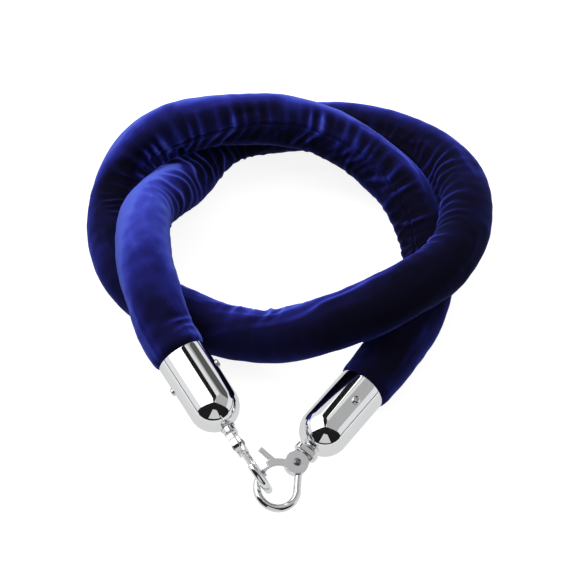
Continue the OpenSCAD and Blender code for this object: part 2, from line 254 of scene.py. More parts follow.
# %% Shoulders at the mouths
CAP_R, CAP_LENGTH, CAP_WALL = 16.3 * MM, 56 * MM, 1.2 * MM
TUCK_R = CAP_R - CAP_WALL - 0.3 * MM
TUCK_LENGTH, COVER_WALL = 32 * MM, 1.4 * MM
SHOULDER, CUFF_RINGS = 5.5 * MM, 8
CUFF_PLEATS, CUFF_PLEAT_DEPTH, CUFF_PLEAT_REACH = 15, 0.7 * MM, 7 * MM
CUFF_SQUEEZE, CUFF_SQUEEZE_REACH = 0.5 * MM, 14 * MM

from_mouth = np.minimum(along, LENGTH - along)
shoulder = np.sqrt(np.clip(1 - (1 - np.clip(from_mouth / SHOULDER, 0, 1)) ** 2, 0, 1))
round_cuff = round_it * CUFF_PLEATS / (2 * math.pi) + drift(along, round_it, 20 * MM, 60 * MM, seed=14) * 0.15
cuff_pleats = 1 - ridges(round_cuff, seed=15)
radius = radius - CUFF_PLEAT_DEPTH * cuff_pleats * np.exp(-from_mouth / CUFF_PLEAT_REACH)
radius = radius - CUFF_SQUEEZE * np.exp(-from_mouth / CUFF_SQUEEZE_REACH)
radius = TUCK_R + (radius - TUCK_R) * shoulder
skin = centre[:, None] + radius[..., None] * out
cuff = [round(radius[ring].mean() / MM, 2) for ring in (0, CUFF_RINGS)]
print("radius in mm at the mouth and past the cuff:", cuff)

# %% [markdown]
# ## Resting on the floor and on itself
# A soft tube goes flat where it is pressed. Points that would sink into the floor are lifted to it,
# and where two strands cross, each is pressed back to the plane halfway between them, or swells out
# to meet it, so that no daylight shows where they touch.

# %% Flats at the floor and at the crossings
OTHER_STRAND = 70 * MM
TOUCHING, REACH = 2.04 * FULL_R, 2.2 * FULL_R
HALF_GAP = 0.05 * MM
FLOOR_SOFT = 0.6 * MM


def press_apart(skin, centre, walked):
    """Presses each ring back to the plane halfway to the nearest other strand, or swells it out to it."""
    pressed = skin.copy()
    coarse = slice(None, None, 2)
    for i in range(len(centre)):
        others = np.abs(walked[coarse] - walked[i]) > OTHER_STRAND
        away = centre[coarse][others] - centre[i]
        gap = np.linalg.norm(away, axis=1)
        nearest = gap.argmin()
        if gap[nearest] >= REACH:
            continue
        toward = away[nearest] / gap[nearest]
        limit = gap[nearest] / 2 - HALF_GAP
        level = (skin[i] - centre[i]) @ toward
        aim = level / np.linalg.norm(skin[i] - centre[i], axis=1)
        swell = rise(aim, 0.80, 0.96) * (1 - rise(gap[nearest], TOUCHING, REACH))
        push = np.clip(limit - level, 0, None) * swell - np.clip(level - limit, 0, None)
        pressed[i] += push[:, None] * toward
    return pressed


skin = press_apart(skin, centre, walked)
height = skin[..., 2]
settled = FLOOR_SOFT * np.exp(np.clip(height / FLOOR_SOFT - 1, -20, 0))
skin[..., 2] = np.where(height < FLOOR_SOFT, settled, height)
print("lowest cloth in mm:", round(skin[..., 2].min() / MM, 2))

# %% A tube mesh from its rings
def link(obj):
    scene.collection.objects.link(obj)
    return obj


def tube(name, rings, tips, uv_lengths):
    """Rings of points, closed at each end on the point in tips, with a UV map that follows the tube."""
    count, sides = rings.shape[:2]
    points = np.vstack([rings.reshape(-1, 3), tips])
    a = (np.arange(count - 1)[:, None] * sides + np.arange(sides)).ravel()
    b = (np.arange(count - 1)[:, None] * sides + (np.arange(sides) + 1) % sides).ravel()
    quads = np.stack([a, b, b + sides, a + sides], axis=1)
    k = np.arange(sides)
    first = np.stack([np.full(sides, count * sides), (k + 1) % sides, k], axis=1)
    base = (count - 1) * sides
    last = np.stack([np.full(sides, count * sides + 1), base + k, base + (k + 1) % sides], axis=1)
    mesh = bpy.data.meshes.new(name)
    mesh.from_pydata(points.tolist(), [], quads.tolist() + first.tolist() + last.tolist())
    u = uv_lengths / uv_lengths[-1]
    v0, v1 = np.tile(k, count - 1) / sides, np.tile(k + 1, count - 1) / sides
    u0, u1 = np.repeat(u[:-1], sides), np.repeat(u[1:], sides)
    quad_uv = np.stack([u0, v0, u0, v1, u1, v1, u1, v0], axis=1)
    fan_v = np.stack([(k + 0.5) / sides, (k + 1) / sides, k / sides], axis=1)
    first_uv = np.stack([0 * k, fan_v[:, 0], 0 * k, fan_v[:, 1], 0 * k, fan_v[:, 2]], axis=1)
    last_uv = np.stack([0 * k + 1, fan_v[:, 0], 0 * k + 1, fan_v[:, 2], 0 * k + 1, fan_v[:, 1]], axis=1)
    uv = mesh.uv_layers.new(name="UVMap")
    uv.data.foreach_set("uv", np.concatenate([quad_uv.ravel(), first_uv.ravel(), last_uv.ravel()]))
    mesh.shade_smooth()
    return link(bpy.data.objects.new(name, mesh))


print("tube helper ready")

# %% The sleeve's mesh, with its tucked ends
CORE_END = 2.2 * MM
# How far along the tucked cloth each of its rings lies, for the UV map.
TUCKED_LENGTHS = np.array([0, 6, 18, 30, 31.4, 41, 51, 59, 62]) * MM


def tucked_end(at, inwards, order):
    """Rings inside a cap: the cloth runs in, turns, and comes back inside itself to the core's end."""
    depths = np.array([1, 4, 12, 22, TUCK_LENGTH / MM, TUCK_LENGTH / MM, 20, 8, CORE_END / MM]) * MM
    radii = np.array([TUCK_R] * 5 + [TUCK_R - COVER_WALL] * 4)
    return (at + inwards * depths[:, None])[:, None] + radii[:, None, None] * out[order][None]


start_rings = tucked_end(centre[0], -ahead[0], 0)
stop_rings = tucked_end(centre[-1], ahead[-1], -1)
rings = np.concatenate([start_rings[::-1], skin, stop_rings])
tucked = TUCKED_LENGTHS[-1]
uv_lengths = np.concatenate([
    TUCKED_LENGTHS, tucked + 1 * MM + walked, tucked + 2 * MM + LENGTH + TUCKED_LENGTHS])
tips = np.array([centre[0] - ahead[0] * CORE_END, centre[-1] + ahead[-1] * CORE_END])
sleeve = tube("velvet_sleeve", rings, tips, uv_lengths)
print("sleeve faces:", len(sleeve.data.polygons))


# %% Values that the velvet finish reads from the mesh
def spread_values(obj, name, middle, ends):
    """A value at every point: ends for the tucked rings, middle for the rings between the caps."""
    cap_rows = np.full((len(start_rings), SIDES), ends)
    values = np.concatenate([cap_rows.ravel(), middle.ravel(), cap_rows.ravel(), [ends, ends]])
    store = obj.data.attributes.new(name, "FLOAT", "POINT")
    store.data.foreach_set("value", values.astype(np.float32))


# How bright the pile is, at shares of the rope's length: partly pile brushing, partly painted light and shade
# on whole strands.
BRUSHED_AND_LIT = [
    (0, 0.68), (0.04, 0.66), (0.08, 0.58), (0.11, 0.34), (0.15, 0.38), (0.27, 0.5), (0.36, 0.36),
    (0.40, 0.12), (0.46, 0.30), (0.52, 0.42), (0.60, 0.06), (0.65, -0.10), (0.69, 0.86), (0.75, 0.52),
    (0.86, 0.62), (0.9, 0.22), (0.95, 0.46), (1.0, 0.42),
]
FULL_FOLD = 2.2 * MM
SEAM_GLOW = 14 * MM
brushed_and_lit = np.interp(along / LENGTH, *zip(*BRUSHED_AND_LIT))
brushed_and_lit = brushed_and_lit + 0.07 * drift(along, round_it, 40 * MM, 150 * MM, seed=21)
# Painted light: the side of the rope that faces up, back and left, towards the key light, is made lighter.
brushed_and_lit = brushed_and_lit + 0.26 * (out * unit(np.array([-0.35, 0.6, 0.6]))).sum(2) - 0.05
# Painted sheen along the gathered part of the seam.
brushed_and_lit = brushed_and_lit + 0.75 * np.exp(-((off_seam / SEAM_GLOW) ** 2)) * stretch(0.62, 0.85, 0.04)
# Painted light on the side that faces +x over the last stretch of the rope.
brushed_and_lit = brushed_and_lit + 0.55 * rise(out[..., 0], 0.3, 1) * rise(along, 0.92 * LENGTH, 0.96 * LENGTH)
# The fold value puts painted shade in fold hollows and in the seam groove, and the crest value a painted
# highlight on fold crests.
spread_values(sleeve, "fold", np.clip(depth / FULL_FOLD + seam_groove / GROOVE_DEPTH, 0, 1), 0)
spread_values(sleeve, "crest_highlight", crest_highlight, 0)
spread_values(sleeve, "brushed_and_lit", np.clip(brushed_and_lit, -0.4, 1.4), 0.4)
nap = sleeve.data.attributes.new("nap", "FLOAT_VECTOR", "POINT")
tucked_rows = len(start_rings)
nap_rows = np.vstack([np.repeat(ahead[:1], tucked_rows, 0), ahead, np.repeat(ahead[-1:], tucked_rows, 0)])
nap_all = np.vstack([np.repeat(nap_rows, SIDES, axis=0), ahead[:1], ahead[-1:]])
nap.data.foreach_set("vector", nap_all.astype(np.float32).ravel())
stored = [a.name for a in sleeve.data.attributes if a.name in ("fold", "crest_highlight", "brushed_and_lit", "nap")]
print("values stored:", stored)

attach(sleeve, "rope")
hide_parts("velvet_cover")

# %% [markdown]
# ## The foam core
# Inside the sleeve is a plain foam rod. Nothing of it shows, but the rope is not hollow, so it is
# made too: a thinner tube on the same line, dented where the sleeve's folds press into it.

# %% Foam core
FOAM_R, FOAM_GAP = 15.6 * MM, 0.8 * MM
every = slice(4, -4, 2)
inside = np.linalg.norm(skin - centre[:, None], axis=2) - COVER_WALL - FOAM_GAP
core_r = np.minimum(FOAM_R, inside)[every, ::2, None]
core_centre = centre[every]
foam = tube("foam_rod", core_centre[:, None] + core_r * out[every, ::2], core_centre[[0, -1]], walked[every])
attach(foam, "rope")
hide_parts("foam_core")
print("foam faces:", len(foam.data.polygons))

# %% [markdown]
# ## Helpers for what repeats
# Stitches and screws repeat, so Geometry Nodes place them. A tree takes its values as named inputs,
# makes its copies real and gives them their material. It is run once, on a plain mesh of places.

# %% A helper for Geometry Nodes trees
def new_tree(name, inputs):
    tree = bpy.data.node_groups.new(name, "GeometryNodeTree")
    tree.interface.new_socket("Geometry", in_out="INPUT", socket_type="NodeSocketGeometry")
    for label, kind, value in inputs:
        socket = tree.interface.new_socket(label, in_out="INPUT", socket_type=kind)
        if value is not None:
            socket.default_value = value
    tree.interface.new_socket("Geometry", in_out="OUTPUT", socket_type="NodeSocketGeometry")
    return tree, tree.nodes.new("NodeGroupInput"), tree.nodes.new("NodeGroupOutput")


def finish_tree(tree, last, group_in, group_out):
    real = tree.nodes.new("GeometryNodeRealizeInstances")
    paint = tree.nodes.new("GeometryNodeSetMaterial")
    tree.links.new(last, real.inputs[0])
    tree.links.new(real.outputs[0], paint.inputs["Geometry"])
    tree.links.new(group_in.outputs["Material"], paint.inputs["Material"])
    tree.links.new(paint.outputs[0], group_out.inputs[0])


def run_tree(name, tree, mesh, values):
    """Runs the tree on a mesh with its named values, and gives back an object with what it makes."""
    holder = link(bpy.data.objects.new(name, mesh))
    modifier = holder.modifiers.new("make", "NODES")
    modifier.node_group = tree
    for item in tree.interface.items_tree:
        if item.in_out == "INPUT" and item.name in values:
            modifier[item.identifier] = values[item.name]
    made = bpy.data.meshes.new_from_object(holder.evaluated_get(bpy.context.evaluated_depsgraph_get()))
    holder.modifiers.remove(modifier)
    holder.data = made
    made.name = name
    return holder


print("tree helpers ready")

# %% [markdown]
# ## Finishes
# Two effects are shared by several materials, so each is a node group: handling marks on metal, and
# the tufts and cloudy unevenness of a pile or of fibres. A group only gives out values; the shader
# itself stays in each material.

# %% Helpers for materials
def new_group(name, inputs, outputs):
    group = bpy.data.node_groups.new(name, "ShaderNodeTree")
    for label, kind, value in inputs:
        group.interface.new_socket(label, in_out="INPUT", socket_type=kind).default_value = value
    for label, kind in outputs:
        group.interface.new_socket(label, in_out="OUTPUT", socket_type=kind)
    return group, group.nodes.new("NodeGroupInput"), group.nodes.new("NodeGroupOutput")


def join(tree, source, target):
    tree.links.new(source, target)


def fill(tree, socket, value):
    """Sets an input to a plain value, or links it to the output of another node."""
    if isinstance(value, bpy.types.NodeSocket):
        join(tree, value, socket)
    else:
        socket.default_value = value


def add(tree, kind, **settings):
    """A new node. Each setting fills the input of its name, or else is one of the node's own values."""
    node = tree.nodes.new(kind)
    for key, value in settings.items():
        if key in node.inputs:
            fill(tree, node.inputs[key], value)
        else:
            setattr(node, key, value)
    return node


def worked(tree, kind, *values, **settings):
    """The output of a new node, with its inputs filled in order."""
    node = add(tree, kind, **settings)
    for socket, value in zip(node.inputs, values):
        fill(tree, socket, value)
    return node.outputs[0]


def ranged(tree, source, a, b, low=0, high=1):
    """A value that runs from low to high while the source runs from a to b."""
    return worked(tree, "ShaderNodeMapRange", source, a, b, low, high)


FLOAT, VECTOR = "NodeSocketFloat", "NodeSocketVector"
print("material helpers ready")

# %% Group: handling marks on polished metal
marks, marks_in, marks_out = new_group(
    "handling marks",
    [("Coordinates", VECTOR, (0, 0, 0)), ("Size", FLOAT, 60.0),
     ("Stretch", VECTOR, (1, 14, 14)), ("Amount", FLOAT, 1.0)],
    [("Smear", FLOAT), ("Scratch", FLOAT)])


def layer_of_marks(place, detail, roughness, low, high, output):
    """Noise that starts to count above low and is full at high, times the amount of marks."""
    noise = add(marks, "ShaderNodeTexNoise", Vector=place, Scale=marks_in.outputs["Size"],
                Detail=detail, Roughness=roughness)
    kept = ranged(marks, noise.outputs["Fac"], low, high)
    amount = worked(marks, "ShaderNodeMath", kept, marks_in.outputs["Amount"], operation="MULTIPLY")
    join(marks, amount, marks_out.inputs[output])


rotated = worked(marks, "ShaderNodeMapping", marks_in.outputs["Coordinates"], Rotation=(0.6, 0.3, 1.1))
stretched = worked(marks, "ShaderNodeVectorMath", rotated, marks_in.outputs["Stretch"], operation="MULTIPLY")
layer_of_marks(marks_in.outputs["Coordinates"], 5.0, 0.6, 0.42, 0.75, "Smear")
layer_of_marks(stretched, 2.0, 0.5, 0.63, 0.72, "Scratch")
print("group ready:", marks.name)

# %% Group: tufts of a pile or fibres, fine grain with cloudy patches
tufts, tufts_in, tufts_out = new_group(
    "tufts",
    [("Coordinates", VECTOR, (0, 0, 0)), ("Fine", FLOAT, 1500.0), ("Cloud", FLOAT, 40.0)],
    [("Grain", FLOAT), ("Patch", FLOAT)])
spot = tufts_in.outputs["Coordinates"]
grain = add(tufts, "ShaderNodeTexNoise", Vector=spot, Scale=tufts_in.outputs["Fine"],
            Detail=3.0, Roughness=0.65)
cloud = add(tufts, "ShaderNodeTexNoise", Vector=spot, Scale=tufts_in.outputs["Cloud"],
            Detail=4.0, Roughness=0.55, Distortion=0.6)
join(tufts, grain.outputs["Fac"], tufts_out.inputs["Grain"])
join(tufts, cloud.outputs["Fac"], tufts_out.inputs["Patch"])
print("group ready:", tufts.name)


# %% A helper that starts a material
def new_material(name, **values):
    material = bpy.data.materials.new(name)
    material.use_nodes = True
    tree = material.node_tree
    shader = tree.nodes["Principled BSDF"]
    for key, value in values.items():
        shader.inputs[key.replace("_", " ")].default_value = value
    return material, tree, shader


def on_object(tree):
    """Where each point lies on the object."""
    return tree.nodes.new("ShaderNodeTexCoord").outputs["Object"]


def place(tree, group, **values):
    node = add(tree, "ShaderNodeGroup", node_tree=group)
    fill(tree, node.inputs["Coordinates"], on_object(tree))
    for key, value in values.items():
        node.inputs[key].default_value = value
    return node


def mixed(tree, factor, low, high):
    """A colour from low to high by a factor output."""
    node = add(tree, "ShaderNodeMix", data_type="RGBA")
    for socket, colour in zip([s for s in node.inputs if s.type == "RGBA"], (low, high)):
        socket.default_value = (*colour, 1)
    join(tree, factor, node.inputs[0])
    return [s for s in node.outputs if s.type == "RGBA"][0]


def bumped(tree, shader, height, strength, distance):
    node = add(tree, "ShaderNodeBump", Height=height, Strength=strength, Distance=distance)
    join(tree, node.outputs["Normal"], shader.inputs["Normal"])


print("material starters ready")

# %% [markdown]
# ## Velvet
# Velvet is dark where it is looked at straight on, because light sinks between the upright fibres,
# and bright at its edges, where their sides catch it. The pile also leans one way along the tube, and
# handling brushes it about, so broad patches differ. That rim light is painted into the base colour:
# the finish mixes five blues by how steeply the pile is seen, with the normal tipped along the nap,
# and adds sheen for the bloom of the rims. The base colour also carries painted light and shade on
# whole strands, painted shade in the pressed hollows of folds and a painted highlight on their crests.

# %% Velvet
velvet, tree, shader = new_material(
    "royal blue velvet", Roughness=0.9, Sheen_Weight=0.30, Sheen_Roughness=0.30,
    Sheen_Tint=(0.16, 0.22, 0.95, 1), Specular_IOR_Level=0.04)
pile = place(tree, tufts, Fine=1700.0, Cloud=34.0)
lay = add(tree, "ShaderNodeAttribute", attribute_name="nap")
surface = tree.nodes.new("ShaderNodeNewGeometry")
NAP_LEAN = 0.28
tip = add(tree, "ShaderNodeVectorMath", operation="SCALE", Vector=lay.outputs["Vector"], Scale=NAP_LEAN)
tipped = worked(tree, "ShaderNodeVectorMath", surface.outputs["Normal"], tip.outputs[0], operation="ADD")
leaning = worked(tree, "ShaderNodeVectorMath", tipped, operation="NORMALIZE")
steep = add(tree, "ShaderNodeLayerWeight", Blend=0.5, Normal=leaning)
brushed_and_lit_value = add(tree, "ShaderNodeAttribute", attribute_name="brushed_and_lit")
ridge = add(tree, "ShaderNodeAttribute", attribute_name="crest_highlight")
fold = add(tree, "ShaderNodeAttribute", attribute_name="fold")

# The tone starts from the cloudy patches, and each effect adds its value times its weight: facing adds the
# painted rim light, crest a painted highlight, fold painted shade.
tone = ranged(tree, pile.outputs["Patch"], 0.30, 0.72, -0.09, 0.09)
for value, weight in [
    (steep.outputs["Facing"], 0.78), (brushed_and_lit_value.outputs["Fac"], 0.42), (pile.outputs["Grain"], 0.16),
    (fold.outputs["Fac"], -0.24), (ridge.outputs["Fac"], 0.42),
]:
    tone = worked(tree, "ShaderNodeMath", value, weight, tone, operation="MULTIPLY_ADD")
blues = tree.nodes.new("ShaderNodeValToRGB")
BLUES = [
    (0.30, (0.0022, 0.0018, 0.009)), (0.52, (0.0042, 0.0040, 0.036)), (0.74, (0.012, 0.014, 0.15)),
    (0.92, (0.036, 0.048, 0.36)), (1.0, (0.062, 0.090, 0.46)),
]
while len(blues.color_ramp.elements) < len(BLUES):
    blues.color_ramp.elements.new(0.5)
for element, (at, colour) in zip(blues.color_ramp.elements, BLUES):
    element.position, element.color = at, (*colour, 1)
join(tree, tone, blues.inputs["Fac"])
join(tree, blues.outputs["Color"], shader.inputs["Base Color"])
bumped(tree, shader, pile.outputs["Grain"], 0.35, 0.0004)
sleeve.data.materials.append(velvet)
print("velvet tones:", len(BLUES))

# %% Foam, thread and wood
foam_grey, tree, shader = new_material("open cell foam", Roughness=0.95)
cells = add(tree, "ShaderNodeTexVoronoi", Vector=on_object(tree), Scale=900.0)
in_cell = ranged(tree, cells.outputs["Distance"], 0.1, 0.7)
join(tree, mixed(tree, in_cell, (0.36, 0.36, 0.37), (0.12, 0.12, 0.13)), shader.inputs["Base Color"])
bumped(tree, shader, cells.outputs["Distance"], 0.8, 0.0006)
foam.data.materials.append(foam_grey)

thread, tree, shader = new_material("blue thread", Roughness=0.85, Specular_IOR_Level=0.1)
fibres = place(tree, tufts, Fine=4000.0, Cloud=300.0)
dyed = mixed(tree, fibres.outputs["Grain"], (0.004, 0.004, 0.03), (0.012, 0.013, 0.10))
join(tree, dyed, shader.inputs["Base Color"])
bumped(tree, shader, fibres.outputs["Grain"], 0.5, 0.0002)

wood, tree, shader = new_material("beech plug", Roughness=0.6)
growth = add(tree, "ShaderNodeTexWave", Vector=on_object(tree), Scale=160.0, Distortion=6.0, Detail=3.0)
growth.inputs["Detail Scale"].default_value = 1.4
grained = mixed(tree, growth.outputs["Fac"], (0.55, 0.36, 0.20), (0.36, 0.21, 0.11))
join(tree, grained, shader.inputs["Base Color"])
join(tree, ranged(tree, growth.outputs["Fac"], 0, 1, 0.5, 0.72), shader.inputs["Roughness"])
bumped(tree, shader, growth.outputs["Fac"], 0.2, 0.0003)
print("soft and wooden finishes ready")


# %% Metals
def metal(name, colour, dull, rough, rough_smeared, size, amount, scratch_depth):
    """A plated or bare metal: smears change its gloss and tint, fine scratches its surface."""
    material, tree, shader = new_material(name, Metallic=1.0)
    worn = place(tree, marks, Size=size, Amount=amount)
    join(tree, mixed(tree, worn.outputs["Smear"], colour, dull), shader.inputs["Base Color"])
    join(tree, ranged(tree, worn.outputs["Smear"], 0, 1, rough, rough_smeared), shader.inputs["Roughness"])
    bumped(tree, shader, worn.outputs["Scratch"], 0.15, scratch_depth)
    return material


# Each metal: colour clean and smeared, roughness clean and smeared, size and amount of its marks, and
# how deep its scratches are.
cap_chrome = metal("mirror chrome", (0.93, 0.935, 0.945), (0.9, 0.9, 0.91), 0.035, 0.075, 70, 0.6, 0.01 * MM)
hook_chrome = metal("cast chrome", (0.9, 0.905, 0.915), (0.85, 0.85, 0.86), 0.08, 0.12, 60, 0.3, 0.001 * MM)
lever_chrome = metal("satin plate", (0.93, 0.93, 0.95), (0.9, 0.9, 0.92), 0.20, 0.26, 40, 0.2, 0.001 * MM)
screw_chrome = metal("plated screw", (0.84, 0.84, 0.85), (0.72, 0.72, 0.73), 0.10, 0.2, 400, 0.9, 0.02 * MM)
steel = metal("turned steel", (0.56, 0.56, 0.57), (0.44, 0.44, 0.45), 0.22, 0.4, 300, 1.0, 0.02 * MM)
rivet_steel = metal("peened rivet", (0.30, 0.30, 0.31), (0.16, 0.16, 0.17), 0.22, 0.42, 500, 1.0, 0.02 * MM)
spring_steel = metal("spring wire", (0.42, 0.42, 0.44), (0.30, 0.30, 0.32), 0.25, 0.45, 600, 1.0, 0.02 * MM)
metals = [cap_chrome, hook_chrome, lever_chrome, screw_chrome, steel, rivet_steel, spring_steel]
print("metals:", [m.name for m in metals])

# %% [markdown]
# ## Stitches along the seam
# The seam is closed by a running stitch. Hundreds of tiny equal stitches along one line are a job for
# Geometry Nodes: the line is resampled at the stitch spacing, one small thread bead is placed on each
# point and turned to follow the line, and the result is made real.

# %% The stitch tree, its stitches, and the cord that they belong to
STITCH_STEP, STITCH_R, STITCH_LONG, STITCH_SUNK = 3.0 * MM, 0.26 * MM, 2.2 * MM, 0.1 * MM
stitch_tree, tree_in, tree_out = new_tree("stitches along a line", [
    ("Spacing", FLOAT, STITCH_STEP), ("Thread radius", FLOAT, STITCH_R),
    ("Stitch length", FLOAT, STITCH_LONG), ("Material", "NodeSocketMaterial", None)])
to_curve = stitch_tree.nodes.new("GeometryNodeMeshToCurve")
resample = add(stitch_tree, "GeometryNodeResampleCurve", mode="LENGTH")
bead = add(stitch_tree, "GeometryNodeMeshUVSphere", Segments=7, Rings=6, Radius=1.0)
shape = stitch_tree.nodes.new("ShaderNodeCombineXYZ")
sized = stitch_tree.nodes.new("GeometryNodeTransform")
half = add(stitch_tree, "ShaderNodeMath", operation="MULTIPLY")
half.inputs[1].default_value = 0.5
on_points = stitch_tree.nodes.new("GeometryNodeInstanceOnPoints")
tangent = stitch_tree.nodes.new("GeometryNodeInputTangent")
align = add(stitch_tree, "FunctionNodeAlignRotationToVector", axis="Z")
smooth = stitch_tree.nodes.new("GeometryNodeSetShadeSmooth")
for source, target in [
    (tree_in.outputs["Geometry"], to_curve.inputs[0]),
    (to_curve.outputs[0], resample.inputs["Curve"]),
    (tree_in.outputs["Spacing"], resample.inputs["Length"]),
    (tree_in.outputs["Stitch length"], half.inputs[0]),
    (tree_in.outputs["Thread radius"], shape.inputs[0]),
    (tree_in.outputs["Thread radius"], shape.inputs[1]),
    (half.outputs[0], shape.inputs[2]),
    (bead.outputs["Mesh"], smooth.inputs[0]),
    (smooth.outputs[0], sized.inputs["Geometry"]),
    (shape.outputs[0], sized.inputs["Scale"]),
    (resample.outputs[0], on_points.inputs["Points"]),
    (sized.outputs[0], on_points.inputs["Instance"]),
    (tangent.outputs[0], align.inputs["Vector"]),
    (align.outputs[0], on_points.inputs["Rotation"]),
]:
    join(stitch_tree, source, target)
finish_tree(stitch_tree, on_points.outputs[0], tree_in, tree_out)

seam_side = np.rint((seam_turn % (2 * math.pi)) / (2 * math.pi) * SIDES).astype(int) % SIDES
ring_numbers = np.arange(RINGS)
seam_points = skin[ring_numbers, seam_side] - out[ring_numbers, seam_side] * STITCH_SUNK
seam_points = seam_points[CUFF_RINGS:-CUFF_RINGS]
seam_mesh = bpy.data.meshes.new("seam line")
seam_mesh.from_pydata(seam_points.tolist(), [(i, i + 1) for i in range(len(seam_points) - 1)], [])
stitches = run_tree("seam_stitches", stitch_tree, seam_mesh, {"Material": thread})
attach(stitches, "rope")
print("stitches faces:", len(stitches.data.polygons))

# %% [markdown]
# ## Caps
# Each cap is a spun tube with a domed end, polished to a mirror. A mirror shows every flat of a
# coarse mesh, so the caps are turned from an outline with many sides, with a small rolled edge at
# the mouth and a soft step round the boss that the hook's stud passes through.

# %% Turning an outline round an axis
CAP_SIDES, CAP_SHARP = 144, math.radians(35)


def axis_frame(direction):
    """The cap's own x, y and z, the same as in the CAD source: z points away from the rope."""
    tilt, swing = math.acos(direction[2]), math.atan2(direction[1], direction[0])
    return np.array(Matrix.Rotation(swing, 3, "Z") @ Matrix.Rotation(tilt, 3, "Y"))


def quads_between(i, j, sides):
    """Faces that join ring i to ring j."""
    after = [(k + 1) % sides for k in range(sides)]
    return [(i * sides + k, i * sides + m, j * sides + m, j * sides + k) for k, m in enumerate(after)]


def turned(name, outline, sides, origin, axes):
    """A closed outline of (radius, height) pairs turned into a solid of revolution."""
    angle = np.arange(sides) * 2 * math.pi / sides
    ring = np.stack([np.cos(angle), np.sin(angle)], axis=1)
    local = np.concatenate([
        np.concatenate([r * ring, np.full((sides, 1), z)], axis=1) for r, z in outline])
    points = origin + local @ axes.T
    faces = []
    for i in range(len(outline)):
        faces += quads_between(i, (i + 1) % len(outline), sides)
    mesh = bpy.data.meshes.new(name)
    mesh.from_pydata(points.tolist(), [], faces)
    mesh.shade_smooth()
    mesh.set_sharp_from_angle(angle=CAP_SHARP)
    return link(bpy.data.objects.new(name, mesh))


def arc(cx, cz, r, start, stop, count):
    return [(cx + r * math.cos(a), cz + r * math.sin(a)) for a in np.radians(np.linspace(start, stop, count))]


print("turning helpers ready")

# %% The two caps
BOSS_R, STUD_R, STUD_GAP = 5.0 * MM, 2.4 * MM, 0.06 * MM
DOME_Z, CAP_IN = CAP_LENGTH - CAP_R, CAP_R - CAP_WALL
EDGE = 0.35 * MM
boss_meet = math.degrees(math.acos(BOSS_R / CAP_R))
bore_in = math.degrees(math.acos((STUD_R + STUD_GAP) / CAP_IN))
outline = (
    arc(CAP_R - EDGE, EDGE, EDGE, -90, 0, 6)
    + [(CAP_R, z * MM) for z in np.linspace(1.5, DOME_Z / MM - 1.5, 12)]
    + arc(0, DOME_Z, CAP_R, 0, boss_meet - 1.2, 36)
    + [(BOSS_R + 0.10 * MM, CAP_LENGTH - 0.62 * MM), (BOSS_R, CAP_LENGTH - 0.45 * MM)]
    + arc(BOSS_R - 0.25 * MM, CAP_LENGTH - 0.25 * MM, 0.25 * MM, 0, 90, 5)
    + arc(STUD_R + STUD_GAP + 0.2 * MM, CAP_LENGTH - 0.2 * MM, 0.2 * MM, 90, 180, 4)
    + list(reversed(arc(0, DOME_Z, CAP_IN, 0, bore_in, 24)))
    + [(CAP_IN, z * MM) for z in np.linspace(DOME_Z / MM - 3, 2, 6)]
    + [(CAP_IN, EDGE), (CAP_IN + 0.1 * MM, 0)])
caps = {}
for hand, mouth, direction in [("left", centre[0], -ahead[0]), ("right", centre[-1], ahead[-1])]:
    axes = axis_frame(direction)
    caps[hand] = (mouth, axes)
    cap = turned("chrome_cap_" + hand, outline, CAP_SIDES, mouth, axes)
    cap.data.materials.append(cap_chrome)
    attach(cap, "rope")
    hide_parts("end_cap_" + hand)
    print(cap.name, "faces:", len(cap.data.polygons))

# %% [markdown]
# ## Cap screws
# Two small pan-head screws hold each cap, each with a cross recess. One head is shaped as a polar
# grid whose middle is pressed down in a cross, and Geometry Nodes set a copy at each of the four
# places, turned to face outwards.

# %% One screw
SCREW_INSET, SCREW_HEAD_R, SCREW_HEAD_H = 17 * MM, 2.8 * MM, 1.9 * MM
SCREW_R, SCREW_LENGTH = 1.45 * MM, 9 * MM
CROSS_W, CROSS_R, CROSS_DEPTH = 0.42 * MM, 1.55 * MM, 1.0 * MM
SCREW_SIDES, SCREW_SHARP = 96, math.radians(40)


